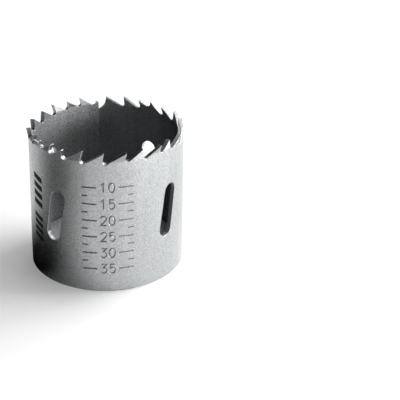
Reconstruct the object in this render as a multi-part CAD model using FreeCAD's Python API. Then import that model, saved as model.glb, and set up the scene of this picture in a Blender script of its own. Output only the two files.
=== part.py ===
import FreeCAD, Part
import math
import os

# Hole saw of 46 mm: a toothed steel strip rolled into a cup and butt-welded,
# with a thick base plate welded into its lower end.
# Millimetres, +Z up towards the teeth. The origin is on the saw's axis, at the
# centre of the base plate's outer face, and a slot faces each of -Y, +X, +Y, -X.
# Angles are in degrees about +Z, counted from +X, and the saw cuts towards +angle.

# Cup
CUTTING_DIAMETER = 46.0
SET_OUTWARD = 0.55
SET_INWARD = 0.55
WALL = 1.25
HEIGHT = 42.3
BOTTOM_EDGE_CHAMFER = 0.4

# Teeth, in order round the rim from the weld, towards +angle. A spacing is the arc
# from one tip to the next. O is a tooth bent outward, I inward, and S is straight,
# as the rakers and the two teeth beside the weld are.
WELD_ANGLE = 136.4
WELD_TO_FIRST_TIP = 0.9
TIP_SPACINGS = (
    4.9, 4.5, 5.0, 5.9, 6.7,
    6.6, 5.8, 4.6, 4.4, 4.7, 5.5, 6.1,
    6.0, 5.2, 5.3, 4.5, 5.1, 5.7, 6.5,
    5.8, 5.5, 5.5, 3.7, 5.3, 5.4,
)
LAST_TIP_TO_WELD = 2.35
TOOTH_SETS = "SOIOI" "SOIOIOI" "SOIOIOI" "SOIOIOS"
HOOK_ANGLE = 10.0
BACK_ANGLE = 31.0
ROOT_RADIUS = 0.8
BEND_ABOVE_ROOT = 0.3
CROWN_BELOW_ROOTS = 1.5

# Butt weld: a short first tooth, a deep gullet and the flat ends of the strip
FIRST_TIP_DROP = 1.15
WELD_RAKE_LEAN = 0.3
WELD_RAKE_DEPTH = 1.5
WELD_GULLET_DEPTH = 3.95
WELD_GULLET_RADIUS = 3.6
WELD_FLAT_WIDTH = 1.8
WELD_KINK_DEPTH = 0.12
WELD_GROUND_DEPTH = 0.05

# Slots through the wall
SLOT_COUNT = 4
SLOT_FIRST_ANGLE = -90.0
SLOT_WIDTH = 4.9
SLOT_LENGTH = 16.0
SLOT_MIDDLE_HEIGHT = 21.5
SLOT_LEAN = 10.2

# Base plate
PLATE_THICKNESS = 4.8
PLATE_TOP_CHAMFER = 0.4
WELD_RING_WIDTH = 0.8
WELD_RING_RECESS = 0.15
THREAD_DIAMETER = 15.875
THREAD_PITCH = 25.4 / 18
THREAD_CHAMFER = 0.8
# Depth of an inch thread over both sides, in pitches
THREAD_DEPTH = 1.0825
PIN_HOLE_COUNT = 2
PIN_HOLE_DIAMETER = 6.5
PIN_CIRCLE_DIAMETER = 25.0
PIN_HOLE_CHAMFER = 0.4

# How far a cutting tool runs past the metal that it cuts
PAST = 1.0

UP = FreeCAD.Vector(0, 0, 1)
ORIGIN = FreeCAD.Vector(0, 0, 0)

wall_outer_radius = CUTTING_DIAMETER / 2 - SET_OUTWARD
wall_inner_radius = wall_outer_radius - WALL
wall_middle_radius = (wall_outer_radius + wall_inner_radius) / 2
hook_slope = math.tan(math.radians(HOOK_ANGLE))
back_slope = math.tan(math.radians(BACK_ANGLE))


def radial(angle):
    """Unit vector that points away from the axis at an angle."""
    return FreeCAD.Vector(math.cos(math.radians(angle)), math.sin(math.radians(angle)), 0)


def on_arc(radius, angle, along, height):
    """Point at a radius, moved along the tangent there and up."""
    tangent = radial(angle + 90)
    return radial(angle) * radius + tangent * along + UP * height


def polygon_face(points):
    return Part.Face(Part.makePolygon(list(points) + [points[0]]))


def cut_through_wall(face, angle):
    """Solid swept through the wall from a face that stands just inside it."""
    reach = WALL + SET_INWARD + SET_OUTWARD + 2 * PAST
    return face.extrude(radial(angle) * reach)


def wall_section(angle, corners):
    """Solid swept through the wall from corners (along, height) at an angle."""
    radius = wall_inner_radius - SET_INWARD - PAST
    return cut_through_wall(polygon_face([on_arc(radius, angle, *corner) for corner in corners]), angle)


def turned(profile, start, end):
    """Solid of revolution of (radius, height) corners from one angle to another."""
    face = polygon_face([FreeCAD.Vector(radius, 0, height) for radius, height in profile])
    solid = face.revolve(ORIGIN, UP, end - start)
    solid.rotate(ORIGIN, UP, start)
    return solid


class Gullet:
    """Space between the rake face of one tooth and the back of the next."""

    def __init__(self, tip, next_tip, tip_height, next_height):
        self.tip = tip
        self.next_tip = next_tip
        self.tip_height = tip_height
        self.next_height = next_height
        spacing = math.radians(next_tip - tip) * wall_middle_radius
        product = hook_slope * back_slope
        corner_height = (next_height - tip_height * product - spacing * back_slope) / (1 - product)
        corner_along = -(tip_height - corner_height) * hook_slope
        half_corner = math.radians(90 - HOOK_ANGLE - BACK_ANGLE) / 2
        bisector = math.radians(BACK_ANGLE) + half_corner
        to_centre = ROOT_RADIUS / math.sin(half_corner)
        root_along = corner_along + to_centre * math.cos(bisector)
        self.root_angle = tip + math.degrees(root_along / wall_middle_radius)
        self.root_height = corner_height + to_centre * math.sin(bisector) - ROOT_RADIUS
        self.spacing = spacing

    def cutter(self):
        """Wedge between the rake plane and the back plane, with a rounded root."""
        top = HEIGHT + PAST
        low = self.root_height - 2 * ROOT_RADIUS
        far = self.spacing + 3 * PAST
        right_of_rake = wall_section(self.tip, (
            ((low - self.tip_height) * hook_slope, low),
            (far, low),
            (far, top),
            ((top - self.tip_height) * hook_slope, top),
        ))
        above_back = wall_section(self.next_tip, (
            (-far, self.next_height - far * back_slope),
            (PAST, self.next_height + PAST * back_slope),
            (PAST, top),
            (-far, top),
        ))
        wedge = right_of_rake.common(above_back)
        root_edge = min(wedge.Edges, key=lambda edge: edge.CenterOfMass.z)
        return wedge.makeFillet(ROOT_RADIUS, [root_edge])


def weld_gullet_cutters(last_tip, first_tip, first_height):
    """Deep gullet that ends at the weld, and the cut-off back of the tooth after it."""
    top = HEIGHT + PAST
    floor = HEIGHT - WELD_GULLET_DEPTH
    to_weld = math.tan(math.radians(WELD_ANGLE + 360 - last_tip)) * wall_outer_radius
    radius = wall_inner_radius - SET_INWARD - PAST
    start = (WELD_RAKE_LEAN, HEIGHT - WELD_RAKE_DEPTH)
    chord = (to_weld - start[0], floor - start[1])
    length = math.hypot(*chord)
    bulge = WELD_GULLET_RADIUS - math.sqrt(WELD_GULLET_RADIUS ** 2 - (length / 2) ** 2)
    middle = (
        start[0] + chord[0] / 2 + bulge * chord[1] / length,
        start[1] + chord[1] / 2 - bulge * chord[0] / length,
    )

    def at(along, height):
        return on_arc(radius, last_tip, along, height)

    far = to_weld + PAST
    outline = Part.Wire([
        Part.makeLine(at(0, top), at(0, HEIGHT)),
        Part.makeLine(at(0, HEIGHT), at(*start)),
        Part.Arc(at(*start), at(*middle), at(to_weld, floor)).toShape(),
        Part.makeLine(at(to_weld, floor), at(far, floor)),
        Part.makeLine(at(far, floor), at(far, top)),
        Part.makeLine(at(far, top), at(0, top)),
    ])
    deep = cut_through_wall(Part.Face(outline), last_tip)
    before_weld = wall_section(WELD_ANGLE, (
        (-far - PAST, floor - PAST),
        (0, floor - PAST),
        (0, top + PAST),
        (-far - PAST, top + PAST),
    ))
    back_length = math.radians(first_tip - WELD_ANGLE) * wall_middle_radius + PAST
    short_back = wall_section(first_tip, (
        (-back_length, first_height - back_length * back_slope),
        (PAST, first_height + PAST * back_slope),
        (PAST, top),
        (-back_length, top),
    ))
    return deep.common(before_weld), short_back


def tooth_blank(kind, start, end, bend_height, base_height):
    """Sector of the wall whose upper part leans by the tooth's set."""
    lean = {"O": SET_OUTWARD, "I": -SET_INWARD, "S": 0.0}[kind]
    if lean == 0:
        profile = (
            (wall_inner_radius, base_height),
            (wall_outer_radius, base_height),
            (wall_outer_radius, HEIGHT),
            (wall_inner_radius, HEIGHT),
        )
    else:
        profile = (
            (wall_inner_radius, base_height),
            (wall_outer_radius, base_height),
            (wall_outer_radius, bend_height),
            (wall_outer_radius + lean, HEIGHT),
            (wall_inner_radius + lean, HEIGHT),
            (wall_inner_radius, bend_height),
        )
    return turned(profile, start, end)


def crown():
    """The cut and set teeth, and the height of the plain wall below them."""
    first = WELD_TO_FIRST_TIP
    strip = first + sum(TIP_SPACINGS) + LAST_TIP_TO_WELD
    places = [first + sum(TIP_SPACINGS[:i]) for i in range(len(TIP_SPACINGS) + 1)]
    tips = [WELD_ANGLE + 360 * place / strip for place in places]
    heights = [HEIGHT - FIRST_TIP_DROP] + [HEIGHT] * (len(tips) - 1)
    gullets = [Gullet(*pair) for pair in zip(tips, tips[1:], heights, heights[1:])]
    cutters = [gullet.cutter() for gullet in gullets]
    deep, short_back = weld_gullet_cutters(tips[-1], tips[0], heights[0])

    floors = [gullet.root_height for gullet in gullets]
    base_height = min(floors + [HEIGHT - WELD_GULLET_DEPTH]) - CROWN_BELOW_ROOTS
    starts = [WELD_ANGLE] + [gullet.root_angle for gullet in gullets]
    ends = starts[1:] + [WELD_ANGLE + 360]
    teeth = []
    for i, kind in enumerate(TOOTH_SETS):
        beside = floors[max(i - 1, 0):i + 1]
        bend_height = max(beside) + BEND_ABOVE_ROOT
        blank = tooth_blank(kind, starts[i], ends[i], bend_height, base_height)
        tools = cutters[max(i - 1, 0):i + 1]
        if i == 0:
            tools = tools + [short_back]
        if i == len(TOOTH_SETS) - 1:
            tools = tools + [deep]
        teeth.append(blank.cut(tools))
    return teeth, base_height


def slot_cutter(angle):
    """Round-ended slot whose top leans towards +angle."""
    radius = wall_inner_radius - SET_INWARD - PAST
    half_width = SLOT_WIDTH / 2
    half_straight = SLOT_LENGTH / 2 - half_width
    lean = math.radians(SLOT_LEAN)

    def at(across, up):
        along = across * math.cos(lean) + up * math.sin(lean)
        height = SLOT_MIDDLE_HEIGHT + up * math.cos(lean) - across * math.sin(lean)
        return on_arc(radius, angle, along, height)

    outline = Part.Wire([
        Part.makeLine(at(-half_width, -half_straight), at(-half_width, half_straight)),
        Part.Arc(
            at(-half_width, half_straight),
            at(0, half_straight + half_width),
            at(half_width, half_straight),
        ).toShape(),
        Part.makeLine(at(half_width, half_straight), at(half_width, -half_straight)),
        Part.Arc(
            at(half_width, -half_straight),
            at(0, -half_straight - half_width),
            at(-half_width, -half_straight),
        ).toShape(),
    ])
    return cut_through_wall(Part.Face(outline), angle)


def weld_line_cutters():
    """Flat strip ends that meet in a shallow kink inside, and the flat ground outside."""
    half = math.degrees(WELD_FLAT_WIDTH / wall_inner_radius)
    kink = polygon_face([
        radial(WELD_ANGLE - half) * wall_inner_radius + UP * PLATE_THICKNESS,
        radial(WELD_ANGLE) * (wall_inner_radius + WELD_KINK_DEPTH) + UP * PLATE_THICKNESS,
        radial(WELD_ANGLE + half) * wall_inner_radius + UP * PLATE_THICKNESS,
        radial(WELD_ANGLE) * (wall_inner_radius - SET_INWARD - PAST) + UP * PLATE_THICKNESS,
    ]).extrude(UP * HEIGHT)
    ground_radius = wall_outer_radius - WELD_GROUND_DEPTH
    ground = polygon_face([
        on_arc(ground_radius, WELD_ANGLE, -WELD_FLAT_WIDTH, -PAST),
        on_arc(ground_radius, WELD_ANGLE, WELD_FLAT_WIDTH, -PAST),
        on_arc(ground_radius + PAST, WELD_ANGLE, WELD_FLAT_WIDTH, -PAST),
        on_arc(ground_radius + PAST, WELD_ANGLE, -WELD_FLAT_WIDTH, -PAST),
    ]).extrude(UP * (HEIGHT + 2 * PAST))
    return kink, ground


def toothed_cup():
    teeth, wall_height = crown()
    wall = turned((
        (wall_inner_radius + WELD_RING_WIDTH, 0),
        (wall_outer_radius - BOTTOM_EDGE_CHAMFER, 0),
        (wall_outer_radius, BOTTOM_EDGE_CHAMFER),
        (wall_outer_radius, wall_height),
        (wall_inner_radius, wall_height),
        (wall_inner_radius, WELD_RING_WIDTH),
    ), 0, 360)
    cup = wall.multiFuse(teeth)
    slots = [
        slot_cutter(SLOT_FIRST_ANGLE + 360 * i / SLOT_COUNT)
        for i in range(SLOT_COUNT)
    ]
    return cup.cut(slots + list(weld_line_cutters())).removeSplitter()


def bore_with_chamfers(radius, chamfer):
    """Tool for a hole through the plate with both mouths chamfered."""
    return turned((
        (0, -PAST),
        (radius + chamfer + PAST, -PAST),
        (radius, chamfer),
        (radius, PLATE_THICKNESS - chamfer),
        (radius + chamfer + PAST, PLATE_THICKNESS + PAST),
        (0, PLATE_THICKNESS + PAST),
    ), 0, 360)


def base_plate():
    """Disc with its weld metal, which fills the bevel inside the cup's lower edge."""
    radius = wall_inner_radius
    disc = turned((
        (0, 0),
        (radius - WELD_RING_WIDTH, 0),
        (radius - WELD_RING_WIDTH, WELD_RING_RECESS),
        (radius + WELD_RING_WIDTH - WELD_RING_RECESS, WELD_RING_RECESS),
        (radius, WELD_RING_WIDTH),
        (radius, PLATE_THICKNESS - PLATE_TOP_CHAMFER),
        (radius - PLATE_TOP_CHAMFER, PLATE_THICKNESS),
        (0, PLATE_THICKNESS),
    ), 0, 360)
    thread_minor_diameter = THREAD_DIAMETER - THREAD_DEPTH * THREAD_PITCH
    tools = [bore_with_chamfers(thread_minor_diameter / 2, THREAD_CHAMFER)]
    for i in range(PIN_HOLE_COUNT):
        hole = bore_with_chamfers(PIN_HOLE_DIAMETER / 2, PIN_HOLE_CHAMFER)
        hole.translate(radial(360 * i / PIN_HOLE_COUNT) * (PIN_CIRCLE_DIAMETER / 2))
        tools.append(hole)
    return disc.cut(tools)


os.makedirs("parts", exist_ok=True)
for name, solid in (("toothed_cup", toothed_cup()), ("base_plate", base_plate())):
    print(name, "valid", solid.isValid(), "solids", len(solid.Solids), "volume", round(solid.Volume, 1))
    solid.exportStep("parts/%s.step" % name)
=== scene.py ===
import math

import bmesh
import bpy
from mathutils import Matrix, Vector


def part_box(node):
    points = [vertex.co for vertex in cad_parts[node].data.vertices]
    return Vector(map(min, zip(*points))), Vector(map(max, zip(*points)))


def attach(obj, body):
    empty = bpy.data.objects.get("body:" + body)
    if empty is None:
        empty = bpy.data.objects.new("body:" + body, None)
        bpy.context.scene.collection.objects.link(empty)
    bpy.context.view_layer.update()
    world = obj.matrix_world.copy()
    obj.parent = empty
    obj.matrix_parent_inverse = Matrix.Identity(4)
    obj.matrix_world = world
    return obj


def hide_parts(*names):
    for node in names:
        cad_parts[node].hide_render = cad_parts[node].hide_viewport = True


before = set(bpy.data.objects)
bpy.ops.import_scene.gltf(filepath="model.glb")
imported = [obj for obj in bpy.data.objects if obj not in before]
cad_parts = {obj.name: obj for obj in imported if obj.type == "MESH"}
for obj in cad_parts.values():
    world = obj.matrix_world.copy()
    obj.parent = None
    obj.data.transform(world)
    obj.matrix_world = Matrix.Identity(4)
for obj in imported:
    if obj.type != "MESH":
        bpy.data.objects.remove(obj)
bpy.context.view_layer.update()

MM = 0.001

# Camera, as fitted to the photograph: its place, turns in degrees, lens and the framing's shift
CAMERA_PLACE = (186.4 * MM, -219.7 * MM, 157.7 * MM)
CAMERA_YAW = 34.96
CAMERA_PITCH = 20.57
CAMERA_ROLL = 1.19
CAMERA_LENS = 96.4
CAMERA_SHIFT = -0.25
CAMERA_NEAR = 0.01
CAMERA_FAR = 20

# Azimuth that it looks from, in degrees; angles about the saw are counted from there
CAMERA_AZIMUTH = 40.3

# Floor, and how far it is lifted towards white where the camera or a reflection sees it
FLOOR_HALF = 6.0
FLOOR_COLOR = (0.8, 0.8, 0.8, 1)
FLOOR_ROUGHNESS = 0.9
FLOOR_LIFT = 0.25

# Painted shadow: dark cards at the saw's left, where its own shadow falls, seen only in reflections:
# angle, distance, radius, height, density
PAINTED_SHADOW_CARDS = (
    # This one paints a black reflected shadow at the foot of the wall
    (-78, 32 * MM, 37 * MM, 0.4 * MM, 1.0),
    # This one paints fainter reflected shade on the wall above it
    (-68, 112 * MM, 86 * MM, 0.2 * MM, 0.95),
)
PAINTED_SHADOW_COLOR = (0.01, 0.01, 0.01, 1)

# Share of a card's radius inside which it is at its full density
CARD_CORE = 0.3
CARD_SIDES = 48

# Softboxes: name, the lamp's angle, distance and height, its width and height, and its watts
SOFTBOXES = (
    ("front key", 48, 0.644, 0.09, (0.7, 0.2), 3.1),
    ("middle key", 70, 0.644, 0.11, (0.5, 0.3), 2.4),
    ("low key", 92, 0.644, 0.11, (0.32, 0.26), 1.8),
    ("side key", 100, 0.574, 0.325, (0.32, 0.26), 2.6),
    ("back key", 125, 0.574, 0.325, (0.32, 0.26), 2.4),
    ("top key", 148, 0.28, 0.606, (0.5, 0.42), 1.8),
)
SOFTBOX_AIM = Vector((0, 0, 20 * MM))
ROOM_COLOR = (0.9, 0.95, 1.0, 1)
ROOM_STRENGTH = 0.02

# The part's sizes, from its meshes in model.glb
SAW_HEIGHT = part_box("toothed_cup")[1].z
PLATE_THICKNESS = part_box("base_plate")[1].z
PLATE_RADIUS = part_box("base_plate")[1].x

# The part's other sizes, as its solids have them
WALL_OUTER = 22.45 * MM
THREAD_MINOR = 7.1737 * MM
THREAD_MAJOR = 7.9375 * MM
THREAD_PITCH = 25.4 / 18 * MM

# The thread's cutter: how far its crests stay inside the bore, and its faces in a turn
THREAD_CLEARANCE = 0.05 * MM
THREAD_SEGMENTS = 96

# Ring for the weld on the underside, and how high the weld's metal goes in it
WELD_RING_INNER = 20.4 * MM
WELD_RING_RECESS = 0.15 * MM
WELD_ROOT = 0.18 * MM

# Weld bead: how much of the ring it fills, and how its ripples run
BEAD_FILL = 0.62
BEAD_RIPPLE = 0.3
BEAD_RIPPLES = 90
BEAD_RIPPLE_LAG = 0.012
BEAD_UNEVEN = 0.8
BEAD_UNEVEN_TURNS = 7
BEAD_SEGMENTS = 720
BEAD_STEPS = 6

# Depth scale engraved on the wall, in plain numbers of millimetres below the teeth
SCALE_DEPTHS = (10, 15, 20, 25, 30, 35)
SCALE_STEP = 5 * MM
SCALE_HALF_WIDTH = 7.4 * MM
LINE_START = 3.0 * MM
SHORT_LINE_START = 5.6 * MM
NUMBER_HEIGHT = 2.8 * MM
NUMBER_WIDTH = 1.6 * MM
NUMBER_SPACING = 2.35 * MM

# Engraved stroke: its width at the wall and at its floor, and its depth
STROKE = 0.42 * MM
STROKE_FLOOR = 0.12 * MM
ENGRAVED_DEPTH = 0.18 * MM

# Its knife: how far it stands out of the wall, its longest straight piece, and its sharpest mitre
KNIFE_PROUD = 0.1 * MM
STROKE_PIECE = 0.5 * MM
MITRE_LEAST = 0.5

# An engraved face's depth in the wall, its depth below the teeth, and the scale's margin in radians
ENGRAVED_FROM = 0.012 * MM
ENGRAVED_TO = 0.325 * MM
ENGRAVED_TOP = 8 * MM
ENGRAVED_MARGIN = 0.02

# Black bars printed at the left of the wall, between two angles
PRINT_LEFT_ANGLE = -66.0
PRINT_RIGHT_ANGLE = -54.5

# Each group of bars: its lowest point, its highest point and how many bars it has
PRINT_ROWS = ((11.2 * MM, 19.6 * MM, 4), (21.6 * MM, 31.9 * MM, 4))

# A bar's share of its spacing, how thick it is on either side of the wall's face, and its rise
PRINT_BAR = 0.62
PRINT_THICKNESS = 0.02 * MM
PRINT_LEAN = 0.9 * MM
PRINT_STEPS = 12

# The strip's butt weld: its angle from +X, half its ground band, and that band's fully ground share
SEAM_ANGLE = math.radians(136.4)
SEAM_HALF_BAND = math.radians(5.5)
SEAM_BAND_CORE = 0.7

# Painted shade: the inner wall is darkened past the weld, clockwise from above, and this fades between
# two angles
SHADE_FADES = math.radians(100)
SHADE_ENDS = math.radians(150)

# Painted shade low in the cup too, from a little before the weld on
LOW_SHADE_STARTS = math.radians(-32)
LOW_SHADE_FULL = math.radians(-10)
LOW_SHADE_TOP = 37 * MM
LOW_SHADE_BOTTOM = 22 * MM

# Grains of the finishes, in cells to the metre
FLECK_GRAIN = 2700.0
PIT_GRAIN = 5200.0
CLOUD_GRAIN = 420.0
GRIND_GRAIN = 2600.0
DIRT_GRAIN = 900.0
HEAT_GRAIN = 240.0

# Share of the blasted colour that follows the flecks, with clouds for the rest
FLECK_SHARE = 0.8

# How much the flecks raise the pitted surface, and how far the pits change its roughness
FLECK_RELIEF = 0.6
PIT_GLOSS = 0.08

# Squeeze along the axis that draws clouds and grinding marks out up the wall
CLOUD_SQUEEZE = 0.12
GRIND_SQUEEZE = 0.06

# Rounding of edges that the light shows
EDGE_RADIUS = 0.2 * MM

# Likeness of a rounded edge's normal to the face's own where the edge's wear and painted highlight start,
# and where they are full
WEAR_AND_HIGHLIGHT_STARTS = 0.97
WEAR_AND_HIGHLIGHT_FULL = 0.8

# Plate: the spacing of its lathe rings, and the strength of the dirt on it
RING_SPACING = 0.22 * MM
DIRT_STRENGTH = 0.35

# A face is a top or an underside where less of its normal than this lies across the axis
FLAT_SHARE = 0.3

# It is round where its normal points this squarely at or from the axis
ROUND_SHARE = 0.996

# It is one of the wall's sides where it is this square to the axis and leans less than this
WALL_SHARE = 0.97
WALL_LEAN = 0.4

# Where it leans more than this, it is the side of a tooth bent outward or inward
SET_LEAN = 0.05

# Faces that meet at less than this angle share a normal
SMOOTH_ANGLE = math.radians(35)

# Points nearer than this are one
SAME_POINT = 1e-7

COLOR = "NodeSocketColor"
NUMBER = "NodeSocketFloat"
VECTOR = "NodeSocketVector"


def around(angle, radius, height):
    """Place at an angle from the camera's side of the saw, towards the picture's right."""
    turn = math.radians(angle + CAMERA_AZIMUTH - 90)
    return Vector((radius * math.cos(turn), radius * math.sin(turn), height))


def new_object(name, data):
    obj = bpy.data.objects.new(name, data)
    bpy.context.scene.collection.objects.link(obj)
    return obj


class Nodes:
    """Short way to add and link shader nodes in one tree."""

    def __init__(self, tree):
        self.tree = tree

    def add(self, kind, **settings):
        node = self.tree.nodes.new("ShaderNode" + kind)
        for name, value in settings.items():
            setattr(node, name, value)
        return node

    def put(self, value, socket):
        if isinstance(value, bpy.types.NodeSocket):
            self.tree.links.new(value, socket)
        else:
            socket.default_value = value

    def math(self, operation, *values):
        node = self.add("Math", operation=operation)
        for value, socket in zip(values, node.inputs):
            self.put(value, socket)
        return node.outputs[0]

    def noise(self, place, grain, detail, roughness=0.5):
        node = self.add("TexNoise")
        self.put(place, node.inputs["Vector"])
        self.put(grain, node.inputs["Scale"])
        node.inputs["Detail"].default_value = detail
        node.inputs["Roughness"].default_value = roughness
        return node.outputs["Fac"]

    def remap(self, value, low, high, to_low=0.0, to_high=1.0):
        node = self.add("MapRange")
        limits = {"Value": value, "From Min": low, "From Max": high, "To Min": to_low, "To Max": to_high}
        for name, number in limits.items():
            self.put(number, node.inputs[name])
        return node.outputs["Result"]

    def mix(self, factor, first, second):
        node = self.add("Mix", data_type="RGBA")
        self.put(factor, node.inputs["Factor"])
        self.put(first, node.inputs[6])
        self.put(second, node.inputs[7])
        return node.outputs[2]

    def place(self):
        return self.add("TexCoord").outputs["Object"]

    def split(self, place):
        node = self.add("SeparateXYZ")
        self.put(place, node.inputs[0])
        return node.outputs

    def squeezed(self, place, share):
        """Places squeezed along the saw's axis, which draws a pattern out up the wall."""
        node = self.add("Mapping")
        self.put(place, node.inputs["Vector"])
        node.inputs["Scale"].default_value = (1.0, 1.0, share)
        return node.outputs["Vector"]

    def group(self, group, **values):
        node = self.add("Group", node_tree=group)
        for name, value in values.items():
            self.put(value, node.inputs[name])
        return node.outputs

    def bump(self, height, strength, depth, normal=None):
        node = self.add("Bump")
        node.inputs["Strength"].default_value = strength
        node.inputs["Distance"].default_value = depth
        self.put(height, node.inputs["Height"])
        if normal is not None:
            self.put(normal, node.inputs["Normal"])
        return node.outputs["Normal"]


def new_group(name, inputs, outputs):
    """Shader node group; gives the group, a hand on its nodes, what it is given and what it puts out."""
    group = bpy.data.node_groups.new(name, "ShaderNodeTree")
    for label, kind, value in inputs:
        socket = group.interface.new_socket(label, in_out="INPUT", socket_type=kind)
        socket.default_value = value
    for label, kind in outputs:
        group.interface.new_socket(label, in_out="OUTPUT", socket_type=kind)
    entry = group.nodes.new("NodeGroupInput")
    leave = group.nodes.new("NodeGroupOutput")
    return group, Nodes(group), entry.outputs, leave.inputs


def make_grain_group():
    """Blasted steel: fine flecks in the colour and in the gloss, faint clouds, and a pitted height."""
    group, nodes, given, out = new_group(
        "blasted_grain",
        [("Light", COLOR, (0.4, 0.4, 0.4, 1)), ("Dark", COLOR, (0.2, 0.2, 0.2, 1)),
         ("Roughness", NUMBER, 0.6)],
        [("Color", COLOR), ("Roughness", NUMBER), ("Height", NUMBER)])
    place = nodes.place()
    fleck = nodes.noise(place, FLECK_GRAIN, detail=1.0)
    pit = nodes.noise(place, PIT_GRAIN, detail=2.0)
    cloud = nodes.noise(nodes.squeezed(place, CLOUD_SQUEEZE), CLOUD_GRAIN, detail=3.0)
    flecked = nodes.remap(fleck, low=0.36, high=0.64)
    clouded = nodes.remap(cloud, low=0.3, high=0.7, to_high=1 - FLECK_SHARE)
    lightness = nodes.math("MULTIPLY_ADD", flecked, FLECK_SHARE, clouded)
    uneven = nodes.remap(pit, low=0.3, high=0.7, to_low=-PIT_GLOSS, to_high=PIT_GLOSS)
    nodes.put(nodes.mix(lightness, given["Dark"], given["Light"]), out["Color"])
    nodes.put(nodes.math("ADD", given["Roughness"], uneven), out["Roughness"])
    nodes.put(nodes.math("MULTIPLY_ADD", fleck, FLECK_RELIEF, pit), out["Height"])
    return group


def make_turned_group():
    """Lathe rings about the saw's axis, with flecks of dirt between them."""
    group, nodes, given, out = new_group(
        "turned_rings",
        [("Spacing", NUMBER, RING_SPACING)],
        [("Rings", NUMBER), ("Dirt", NUMBER)])
    place = nodes.place()
    x, y, z = nodes.split(place)
    square = nodes.math("ADD", nodes.math("MULTIPLY", x, x), nodes.math("MULTIPLY", y, y))
    radius = nodes.math("SQRT", square)
    turns = nodes.math("DIVIDE", nodes.math("SUBTRACT", radius, z), given["Spacing"])
    line = nodes.add("TexNoise", noise_dimensions="1D")
    nodes.put(turns, line.inputs["W"])
    line.inputs["Scale"].default_value = 1.0
    specks = nodes.noise(place, DIRT_GRAIN, detail=4.0, roughness=0.7)
    nodes.put(line.outputs["Fac"], out["Rings"])
    nodes.put(nodes.remap(specks, low=0.5, high=0.8), out["Dirt"])
    return group


def make_edge_group():
    """Slightly rounded edges, as a normal, and a mask of the outermost part of each edge, for edge wear
    and painted highlights.
    """
    group, nodes, given, out = new_group(
        "edge_wear_and_painted_highlight",
        [("Radius", NUMBER, EDGE_RADIUS)],
        [("Normal", VECTOR), ("Edge", NUMBER)])
    bevel = nodes.add("Bevel", samples=4)
    nodes.put(given["Radius"], bevel.inputs["Radius"])
    rounded = bevel.outputs["Normal"]
    likeness = nodes.add("VectorMath", operation="DOT_PRODUCT")
    nodes.put(rounded, likeness.inputs[0])
    nodes.put(nodes.add("NewGeometry").outputs["Normal"], likeness.inputs[1])
    nodes.put(rounded, out["Normal"])
    nodes.put(nodes.remap(likeness.outputs["Value"], WEAR_AND_HIGHLIGHT_STARTS, WEAR_AND_HIGHLIGHT_FULL), out["Edge"])
    return group


def make_seam_group():
    """The strip's butt weld: a ground band along it, and masks of painted shade on the inner wall, past
    it and low down.
    """
    group, nodes, given, out = new_group(
        "weld_band_and_painted_shade",
        [("Half Band", NUMBER, SEAM_HALF_BAND)],
        [("Ground", NUMBER), ("Painted Shade", NUMBER), ("Painted Deep Shade", NUMBER)])
    place = nodes.place()
    x, y, z = nodes.split(place)
    # Past the weld counts clockwise from above, from minus half a turn to half a turn
    turn = nodes.math("ARCTAN2", y, x)
    past = nodes.math("WRAP", nodes.math("SUBTRACT", SEAM_ANGLE, turn), math.pi, -math.pi)
    core = nodes.math("MULTIPLY", given["Half Band"], SEAM_BAND_CORE)
    band = nodes.remap(nodes.math("ABSOLUTE", past), core, given["Half Band"], to_low=1.0, to_high=0.0)
    grinding = nodes.noise(nodes.squeezed(place, GRIND_SQUEEZE), GRIND_GRAIN, detail=2.0)
    marks = nodes.remap(grinding, low=0.38, high=0.62, to_low=0.25)
    nodes.put(nodes.math("MULTIPLY", band, marks), out["Ground"])
    fade = nodes.remap(past, SHADE_FADES, SHADE_ENDS, to_low=1.0, to_high=0.0)
    # Painted shade: darker low down in the cup, from a little before the weld on
    low = nodes.math("MULTIPLY", nodes.remap(z, LOW_SHADE_TOP, LOW_SHADE_BOTTOM),
                     nodes.remap(past, LOW_SHADE_STARTS, LOW_SHADE_FULL))
    beyond = nodes.math("MAXIMUM", nodes.math("GREATER_THAN", past, 0.0), low)
    nodes.put(nodes.math("MULTIPLY", fade, beyond), out["Painted Shade"])
    nodes.put(nodes.math("MULTIPLY", fade, low), out["Painted Deep Shade"])
    return group


GRAIN = make_grain_group()
TURNED = make_turned_group()
EDGES = make_edge_group()
SEAM_AND_PAINTED_SHADE = make_seam_group()


def new_material(name, metallic=1.0):
    """Material; gives it, a hand on its nodes and the inputs of its shader."""
    material = bpy.data.materials.new(name)
    material.use_nodes = True
    shader = material.node_tree.nodes["Principled BSDF"]
    shader.inputs["Metallic"].default_value = metallic
    return material, Nodes(material.node_tree), shader.inputs


def blasted(name, light, dark, roughness, edge_wear_and_highlight, marks=()):
    """Blasted steel with edges made brighter, as wear and painted highlight; a mark is a mask from the
    weld group, its strength and its colour.
    """
    material, nodes, shader = new_material(name)
    grain = nodes.group(GRAIN, Light=(*light, 1), Dark=(*dark, 1), Roughness=roughness)
    edges = nodes.group(EDGES)
    color = grain["Color"]
    # The weld group's marks: its ground band on the outside, painted shade on the inner wall
    for mask, strength, mark_color in marks:
        share = nodes.math("MULTIPLY", nodes.group(SEAM_AND_PAINTED_SHADE)[mask], strength)
        color = nodes.mix(share, color, (*mark_color, 1))
    # Edges brighter: wear, and a painted highlight
    nodes.put(nodes.mix(edges["Edge"], color, (*edge_wear_and_highlight, 1)), shader["Base Color"])
    nodes.put(grain["Roughness"], shader["Roughness"])
    pitted = nodes.bump(grain["Height"], strength=0.9, depth=0.04 * MM, normal=edges["Normal"])
    nodes.put(pitted, shader["Normal"])
    return material


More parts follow.
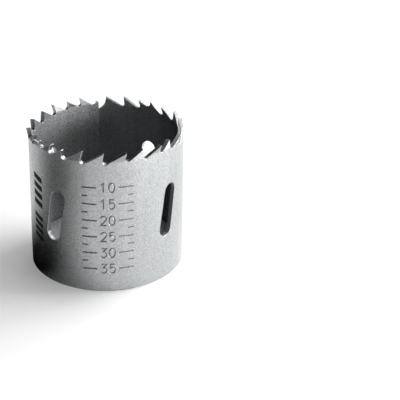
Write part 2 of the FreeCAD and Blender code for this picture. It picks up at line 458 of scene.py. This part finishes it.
def turned_steel():
    """Plate steel: lathe rings, a little dirt and a blue-grey tint."""
    material, nodes, shader = new_material("turned_plate")
    rings = nodes.group(TURNED)
    edges = nodes.group(EDGES)
    clean = nodes.mix(rings["Rings"], (0.78, 0.79, 0.8, 1), (0.9, 0.91, 0.92, 1))
    dirt = nodes.math("MULTIPLY", rings["Dirt"], DIRT_STRENGTH)
    dirty = nodes.mix(dirt, clean, (0.16, 0.15, 0.14, 1))
    rough = nodes.remap(rings["Dirt"], low=0.0, high=1.0, to_low=0.52, to_high=0.65)
    nodes.put(nodes.mix(edges["Edge"], dirty, (0.62, 0.63, 0.64, 1)), shader["Base Color"])
    nodes.put(rough, shader["Roughness"])
    grooved = nodes.bump(rings["Rings"], strength=0.35, depth=0.02 * MM, normal=edges["Normal"])
    nodes.put(grooved, shader["Normal"])
    return material


def weld_metal():
    """Weld bead: its ripples are in its shape, and its grey has brown heat colours."""
    material, nodes, shader = new_material("weld_metal")
    grain = nodes.group(GRAIN, Light=(0.42, 0.41, 0.4, 1), Dark=(0.26, 0.25, 0.25, 1), Roughness=0.45)
    heat = nodes.remap(nodes.noise(nodes.place(), HEAT_GRAIN, detail=3.0), low=0.4, high=0.65)
    nodes.put(nodes.mix(heat, grain["Color"], (0.27, 0.22, 0.17, 1)), shader["Base Color"])
    nodes.put(grain["Roughness"], shader["Roughness"])
    nodes.put(nodes.bump(grain["Height"], strength=0.3, depth=0.02 * MM), shader["Normal"])
    return material


def black_print():
    """Matt black ink with a little of the blasted grain in it."""
    material, nodes, shader = new_material("black_print", metallic=0.0)
    grain = nodes.group(GRAIN, Light=(0.02, 0.02, 0.021, 1), Dark=(0.004, 0.004, 0.004, 1), Roughness=0.6)
    shader["Specular IOR Level"].default_value = 0.15
    nodes.put(grain["Color"], shader["Base Color"])
    nodes.put(grain["Roughness"], shader["Roughness"])
    nodes.put(nodes.bump(grain["Height"], strength=0.25, depth=0.02 * MM), shader["Normal"])
    return material


CUP_MATERIALS = (
    blasted("blasted_wall", light=(0.5, 0.51, 0.515), dark=(0.34, 0.35, 0.355), roughness=0.28,
            edge_wear_and_highlight=(0.75, 0.76, 0.77), marks=(("Ground", 0.6, (0.6, 0.605, 0.61)),)),
    # Inner wall: a darker copy of the wall's steel as painted shade inside the cup, with more painted
    # shade past the weld and low down
    blasted("inner_wall", light=(0.48, 0.49, 0.495), dark=(0.18, 0.19, 0.195), roughness=0.52,
            edge_wear_and_highlight=(0.7, 0.71, 0.72),
            marks=(("Painted Shade", 0.6, (0.1, 0.105, 0.11)), ("Painted Deep Shade", 0.3, (0.0, 0.0, 0.0)))),
    blasted("milled_edge", light=(0.46, 0.47, 0.48), dark=(0.33, 0.34, 0.35), roughness=0.33,
            edge_wear_and_highlight=(0.85, 0.86, 0.87)),
    # Engraved lines: a darker copy of the wall's steel, painted shade in the grooves
    blasted("engraved_line", light=(0.26, 0.265, 0.27), dark=(0.14, 0.145, 0.15), roughness=0.6,
            edge_wear_and_highlight=(0.5, 0.505, 0.51)),
    # Bent tooth sides: a darker copy of the wall's steel, painted shade
    blasted("set_tooth", light=(0.38, 0.385, 0.39), dark=(0.28, 0.285, 0.29), roughness=0.6,
            edge_wear_and_highlight=(0.6, 0.61, 0.62)),
)
OUTSIDE, INSIDE, MILLED, ENGRAVED, SET_TOOTH = range(len(CUP_MATERIALS))
PLATE_MATERIAL = turned_steel()


def make_camera():
    data = bpy.data.cameras.new("camera")
    data.lens = CAMERA_LENS
    data.shift_y = CAMERA_SHIFT
    data.clip_start = CAMERA_NEAR
    data.clip_end = CAMERA_FAR
    camera = new_object("camera", data)
    camera.matrix_world = (
        Matrix.Translation(CAMERA_PLACE)
        @ Matrix.Rotation(math.radians(CAMERA_YAW), 4, "Z")
        @ Matrix.Rotation(math.radians(90 - CAMERA_PITCH), 4, "X")
        @ Matrix.Rotation(math.radians(CAMERA_ROLL), 4, "Z")
    )
    bpy.context.scene.camera = camera


def make_softbox(name, angle, distance, height, size, power):
    """Rectangular area lamp that faces the saw."""
    data = bpy.data.lights.new(name, "AREA")
    data.shape = "RECTANGLE"
    data.size, data.size_y = size
    data.energy = power
    lamp = new_object(name, data)
    lamp.location = around(angle, distance, height)
    lamp.rotation_euler = (SOFTBOX_AIM - lamp.location).to_track_quat("-Z", "Y").to_euler()


def make_room_light():
    world = bpy.data.worlds.new("studio")
    bpy.context.scene.world = world
    world.use_nodes = True
    background = world.node_tree.nodes["Background"]
    background.inputs["Color"].default_value = ROOM_COLOR
    background.inputs["Strength"].default_value = ROOM_STRENGTH


def floor_material():
    """Pale floor that the camera and reflections see nearer to white, with the saw's shadow kept."""
    material, nodes, shader = new_material("pale_floor", metallic=0.0)
    shader["Base Color"].default_value = FLOOR_COLOR
    shader["Roughness"].default_value = FLOOR_ROUGHNESS
    shader["Emission Color"].default_value = (1, 1, 1, 1)
    rays = nodes.add("LightPath").outputs
    seen = rays["Is Camera Ray"]
    for ray in ("Is Glossy Ray", "Is Transmission Ray"):
        seen = nodes.math("MAXIMUM", seen, rays[ray])
    nodes.put(nodes.math("MULTIPLY", seen, FLOOR_LIFT), shader["Emission Strength"])
    return material


def make_floor():
    mesh = bpy.data.meshes.new("floor")
    corners = [(x * FLOOR_HALF, y * FLOOR_HALF, 0) for x, y in ((-1, -1), (1, -1), (1, 1), (-1, 1))]
    mesh.from_pydata(corners, [], [range(len(corners))])
    mesh.materials.append(floor_material())
    new_object("floor", mesh)


def make_dark_card(number, angle, distance, radius, height, density):
    """Painted shadow: dark disc over the floor, thinner towards its rim, that only reflections show."""
    name = "painted_shadow_card_%d" % number
    middle = around(angle, distance, height)
    turns = [2 * math.pi * side / CARD_SIDES for side in range(CARD_SIDES)]
    corners = [middle + Vector((radius * math.cos(turn), radius * math.sin(turn), 0)) for turn in turns]
    mesh = bpy.data.meshes.new(name)
    mesh.from_pydata(corners, [], [range(CARD_SIDES)])
    material, nodes, shader = new_material(name, metallic=0.0)
    shader["Base Color"].default_value = PAINTED_SHADOW_COLOR
    shader["Roughness"].default_value = 1.0
    away = nodes.add("VectorMath", operation="DISTANCE")
    nodes.put(nodes.place(), away.inputs[0])
    nodes.put(middle, away.inputs[1])
    cover = nodes.remap(away.outputs["Value"], radius * CARD_CORE, radius, to_low=density, to_high=0.0)
    nodes.put(cover, shader["Alpha"])
    mesh.materials.append(material)
    card = new_object(name, mesh)
    card.visible_camera = False
    card.visible_shadow = False
    card.visible_diffuse = False


def object_from(name, solid):
    """Object from a bmesh, with its faces turned outward."""
    bmesh.ops.recalc_face_normals(solid, faces=solid.faces)
    mesh = bpy.data.meshes.new(name)
    solid.to_mesh(mesh)
    solid.free()
    return new_object(name, mesh)


def add_bar(solid, sections, closed=False):
    """Add the solid that runs through a row of cross-sections, and back to the first one if closed."""
    pairs = list(zip(sections, sections[1:]))
    if closed:
        pairs.append((sections[-1], sections[0]))
    else:
        solid.faces.new(sections[0])
        solid.faces.new(sections[-1][::-1])
    for first, second in pairs:
        for corner in range(len(first)):
            after = (corner + 1) % len(first)
            solid.faces.new((first[corner], first[after], second[after], second[corner]))


def cut_copy(name, node, cutter):
    """Copy of a CAD node's mesh with the cutter's solid taken away."""
    solid = bmesh.new()
    solid.from_mesh(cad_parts[node].data)
    bmesh.ops.remove_doubles(solid, verts=solid.verts, dist=SAME_POINT)
    piece = object_from(name, solid)
    knife = object_from(name + "_knife", cutter)
    change = piece.modifiers.new("cut", "BOOLEAN")
    change.operation = "DIFFERENCE"
    change.solver = "EXACT"
    change.use_self = True
    change.object = knife
    bpy.context.view_layer.update()
    shape = piece.evaluated_get(bpy.context.evaluated_depsgraph_get())
    mesh = bpy.data.meshes.new_from_object(shape)
    piece.modifiers.clear()
    bpy.data.objects.remove(knife)
    piece.data = mesh
    mesh.name = name
    return piece


def turned_share(normal, x, y):
    """1 where a normal points straight out from the saw's axis, -1 where it points straight in."""
    flat = math.hypot(normal.x, normal.y)
    if flat < FLAT_SHARE:
        return 0.0
    return (normal.x * x + normal.y * y) / (flat * math.hypot(x, y))


def turned_normal(normal, place, share):
    """Normal of a turned shape at a place, as steep as the face that it belongs to."""
    flat = math.copysign(math.hypot(normal.x, normal.y) / math.hypot(place.x, place.y), share)
    return Vector((place.x * flat, place.y * flat, normal.z)).normalized()


def set_normals(mesh):
    """Round faces get the true normals of a turned shape; others share theirs with near ones."""
    faces_at = [[] for _ in mesh.vertices]
    for face in mesh.polygons:
        for vertex in face.vertices:
            faces_at[vertex].append(face.index)
    limit = math.cos(SMOOTH_ANGLE)
    own = [face.normal.copy() for face in mesh.polygons]
    areas = [face.area for face in mesh.polygons]
    shares = [turned_share(face.normal, face.center.x, face.center.y) for face in mesh.polygons]
    normals = [None] * len(mesh.loops)
    for face in mesh.polygons:
        share = shares[face.index]
        normal = own[face.index]
        for loop in face.loop_indices:
            vertex = mesh.loops[loop].vertex_index
            if abs(share) > ROUND_SHARE:
                normals[loop] = turned_normal(normal, mesh.vertices[vertex].co, share)
                continue
            total = Vector()
            for other in faces_at[vertex]:
                if own[other].dot(normal) > limit and abs(shares[other]) <= ROUND_SHARE:
                    total += own[other] * areas[other]
            normals[loop] = total.normalized()
    mesh.normals_split_custom_set(normals)


def arc(x, y, across, up, start, end, steps=12):
    """Points on part of an ellipse, in a digit's own square."""
    turns = [math.radians(start + (end - start) * step / steps) for step in range(steps + 1)]
    return [(x + across * math.cos(turn), y + up * math.sin(turn)) for turn in turns]


DIGITS = {
    "0": arc(0.5, 0.5, 0.5, 0.5, 90, 450, 24),
    "1": [(0.12, 0.76), (0.52, 1.0), (0.52, 0.0)],
    "2": arc(0.5, 0.7, 0.48, 0.3, 165, -35) + [(0.02, 0.0), (1.0, 0.0)],
    "3": [(0.05, 1.0), (0.95, 1.0), (0.4, 0.62)] + arc(0.45, 0.31, 0.52, 0.31, 60, -150),
    "5": [(0.92, 1.0), (0.16, 1.0), (0.1, 0.56)] + arc(0.47, 0.33, 0.52, 0.33, 115, -145),
}


def fine_points(points):
    """The same line with points close enough together to follow the round wall."""
    fine = [points[0]]
    for start, end in zip(points, points[1:]):
        pieces = max(1, math.ceil(math.dist(start, end) / STROKE_PIECE))
        for piece in range(1, pieces + 1):
            share = piece / pieces
            fine.append(tuple(a + (b - a) * share for a, b in zip(start, end)))
    return fine


def side_steps(points, closed):
    """Mitred step to the left of a line at each of its points."""
    steps = []
    count = len(points)
    for index, here in enumerate(points):
        before = points[index - 1] if closed or index else None
        after = points[(index + 1) % count] if closed or index + 1 < count else None
        lefts = []
        for start, end in ((before, here), (here, after)):
            if start and end:
                along = Vector(end) - Vector(start)
                along.normalize()
                lefts.append(Vector((-along.y, along.x)))
        left = sum(lefts, Vector((0, 0)))
        left.normalize()
        steps.append(left / max(MITRE_LEAST, left.dot(lefts[0])))
    return steps


def add_stroke(solid, points):
    """Add the solid that cuts one engraved line; points are on the unrolled wall."""
    closed = math.dist(points[0], points[-1]) < STROKE / 10
    fine = fine_points(points)
    if closed:
        fine.pop()
    top_half = STROKE / 2 + (STROKE - STROKE_FLOOR) / 2 * KNIFE_PROUD / ENGRAVED_DEPTH
    section = ((top_half, KNIFE_PROUD), (-top_half, KNIFE_PROUD),
               (-STROKE_FLOOR / 2, -ENGRAVED_DEPTH), (STROKE_FLOOR / 2, -ENGRAVED_DEPTH))
    sections = []
    for (x, z), step in zip(fine, side_steps(fine, closed)):
        corners = []
        for side, proud in section:
            angle = math.degrees((x + side * step.x) / WALL_OUTER)
            corners.append(solid.verts.new(around(angle, WALL_OUTER + proud, z + side * step.y)))
        sections.append(corners)
    add_bar(solid, sections, closed)


def scale_cutter():
    """Solid that engraves the depth scale: numbers, long lines beside them, short ones between."""
    solid = bmesh.new()
    for depth in SCALE_DEPTHS:
        height = SAW_HEIGHT - depth * MM
        low = height - NUMBER_HEIGHT / 2
        digits = str(depth)
        for place, digit in enumerate(digits):
            left = (place - (len(digits) - 1) / 2) * NUMBER_SPACING - NUMBER_WIDTH / 2
            add_stroke(solid, [
                (left + x * NUMBER_WIDTH, low + y * NUMBER_HEIGHT) for x, y in DIGITS[digit]])
        for side in (-1, 1):
            end = side * SCALE_HALF_WIDTH
            add_stroke(solid, [(side * LINE_START, height), (end, height)])
            if depth != SCALE_DEPTHS[-1]:
                between = height - SCALE_STEP / 2
                add_stroke(solid, [(side * SHORT_LINE_START, between), (end, between)])
    return solid


def thread_cutter():
    """Solid that cuts the arbor thread: a screw shape whose crests stay inside the bore."""
    inside = THREAD_MINOR - THREAD_CLEARANCE
    root = THREAD_PITCH / 8
    flank = (THREAD_PITCH - THREAD_PITCH / 4 - root) / 2
    flank *= (THREAD_MAJOR - inside) / (THREAD_MAJOR - THREAD_MINOR)
    crest = THREAD_PITCH - root - 2 * flank
    corners = (
        (0, inside), (crest, inside),
        (crest + flank, THREAD_MAJOR), (crest + flank + root, THREAD_MAJOR),
    )
    turns = math.ceil(PLATE_THICKNESS / THREAD_PITCH) + 2
    solid = bmesh.new()

    def corner_point(row, segment):
        share = segment / THREAD_SEGMENTS
        turn, corner = divmod(row, len(corners))
        offset, radius = corners[corner]
        height = (turn - 2 + share) * THREAD_PITCH + offset
        angle = 2 * math.pi * share
        return solid.verts.new((radius * math.cos(angle), radius * math.sin(angle), height))

    # Each row ends where the row one pitch higher starts
    last = turns * len(corners)
    grid = [
        [corner_point(row, segment) for segment in range(THREAD_SEGMENTS)] for row in range(last + 1)]
    grid += [[corner_point(last + extra, 0)] for extra in range(1, len(corners) + 1)]
    for row in range(last):
        low = grid[row] + [grid[row + len(corners)][0]]
        high = grid[row + 1] + [grid[row + 1 + len(corners)][0]]
        for segment in range(THREAD_SEGMENTS):
            solid.faces.new((low[segment], low[segment + 1], high[segment + 1], high[segment]))

    # A pointed cap closes each end, clear of the plate
    for row, middle_height in ((0, -4 * THREAD_PITCH), (last, (turns + 2) * THREAD_PITCH)):
        loop = grid[row] + [grid[row + extra][0] for extra in range(len(corners), 0, -1)]
        middle = solid.verts.new((0, 0, middle_height))
        for index, point in enumerate(loop):
            solid.faces.new((point, loop[(index + 1) % len(loop)], middle))
    return solid


def is_engraved(x, y, z):
    """Whether a place in the wall lies in the depth scale's lines."""
    depth = WALL_OUTER - math.hypot(x, y)
    if not ENGRAVED_FROM < depth < ENGRAVED_TO or z >= SAW_HEIGHT - ENGRAVED_TOP:
        return False
    reach = SCALE_HALF_WIDTH / WALL_OUTER + ENGRAVED_MARGIN
    return Vector((x, y)).normalized().dot(around(0, 1, 0).xy) > math.cos(reach)


def cup_face_kind(face):
    """Which of the cup's finishes a face has, told from where it lies and how it faces."""
    x, y, z = face.center
    if is_engraved(x, y, z):
        return ENGRAVED
    share = turned_share(face.normal, x, y)
    lean = abs(face.normal.z)
    if abs(share) <= WALL_SHARE or lean >= WALL_LEAN:
        return MILLED
    if lean > SET_LEAN:
        return SET_TOOTH
    return OUTSIDE if share > 0 else INSIDE


def make_cup():
    cup = cut_copy("cup_look", "toothed_cup", scale_cutter())
    for material in CUP_MATERIALS:
        cup.data.materials.append(material)
    for face in cup.data.polygons:
        face.material_index = cup_face_kind(face)
    set_normals(cup.data)
    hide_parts("toothed_cup")
    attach(cup, "root")


def make_plate():
    plate = cut_copy("plate_look", "base_plate", thread_cutter())
    plate.data.materials.append(PLATE_MATERIAL)
    set_normals(plate.data)
    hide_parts("base_plate")
    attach(plate, "root")


def make_weld_bead():
    """Low bead of weld metal in the ring between the plate and the wall, with ripples."""
    solid = bmesh.new()
    middle = (WELD_RING_INNER + PLATE_RADIUS) / 2
    half = (PLATE_RADIUS - WELD_RING_INNER) / 2
    sections = []
    for segment in range(BEAD_SEGMENTS):
        angle = 2 * math.pi * segment / BEAD_SEGMENTS
        wave = math.sin(angle * BEAD_RIPPLES + BEAD_UNEVEN * math.sin(angle * BEAD_UNEVEN_TURNS))
        fill = BEAD_FILL + BEAD_RIPPLE * (0.5 + 0.5 * wave)
        corners = []
        for step in range(BEAD_STEPS + 1):
            across = 2 * step / BEAD_STEPS - 1
            crown = 1 - across * across
            corners.append((middle + across * half, angle + BEAD_RIPPLE_LAG * crown,
                            WELD_RING_RECESS * (1 - crown * fill)))
        corners += [(PLATE_RADIUS, angle, WELD_ROOT), (WELD_RING_INNER, angle, WELD_ROOT)]
        sections.append([solid.verts.new((radius * math.cos(turn), radius * math.sin(turn), height))
                         for radius, turn, height in corners])
    add_bar(solid, sections, closed=True)
    bead = object_from("weld_bead", solid)
    bead.data.polygons.foreach_set("use_smooth", [True] * len(bead.data.polygons))
    bead.data.materials.append(weld_metal())
    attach(bead, "root")


def make_print():
    """Slanted black bars in two groups, printed at the left of the wall."""
    solid = bmesh.new()
    inner = WALL_OUTER - PRINT_THICKNESS
    outer = WALL_OUTER + PRINT_THICKNESS
    for lowest, highest, count in PRINT_ROWS:
        spacing = (highest - lowest - PRINT_LEAN) / (count - 1 + PRINT_BAR)
        for bar in range(count):
            sections = []
            for step in range(PRINT_STEPS + 1):
                share = step / PRINT_STEPS
                angle = PRINT_LEFT_ANGLE + (PRINT_RIGHT_ANGLE - PRINT_LEFT_ANGLE) * share
                low = lowest + bar * spacing + PRINT_LEAN * (1 - share)
                high = low + spacing * PRINT_BAR
                sections.append([
                    solid.verts.new(around(angle, radius, height))
                    for radius, height in ((inner, low), (outer, low), (outer, high), (inner, high))])
            add_bar(solid, sections)
    bars = object_from("printed_bars", solid)
    bars.data.materials.append(black_print())
    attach(bars, "root")


def dress(node, material):
    """Give a CAD node's object its material, in the object's own slots."""
    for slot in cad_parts[node].material_slots:
        slot.material = material


make_camera()
make_room_light()
make_floor()
for number, card in enumerate(PAINTED_SHADOW_CARDS, 1):
    make_dark_card(number, *card)
for softbox in SOFTBOXES:
    make_softbox(*softbox)
make_cup()
make_plate()
make_weld_bead()
make_print()
dress("toothed_cup", CUP_MATERIALS[OUTSIDE])
dress("base_plate", PLATE_MATERIAL)
bpy.context.scene.view_settings.view_transform = "Standard"
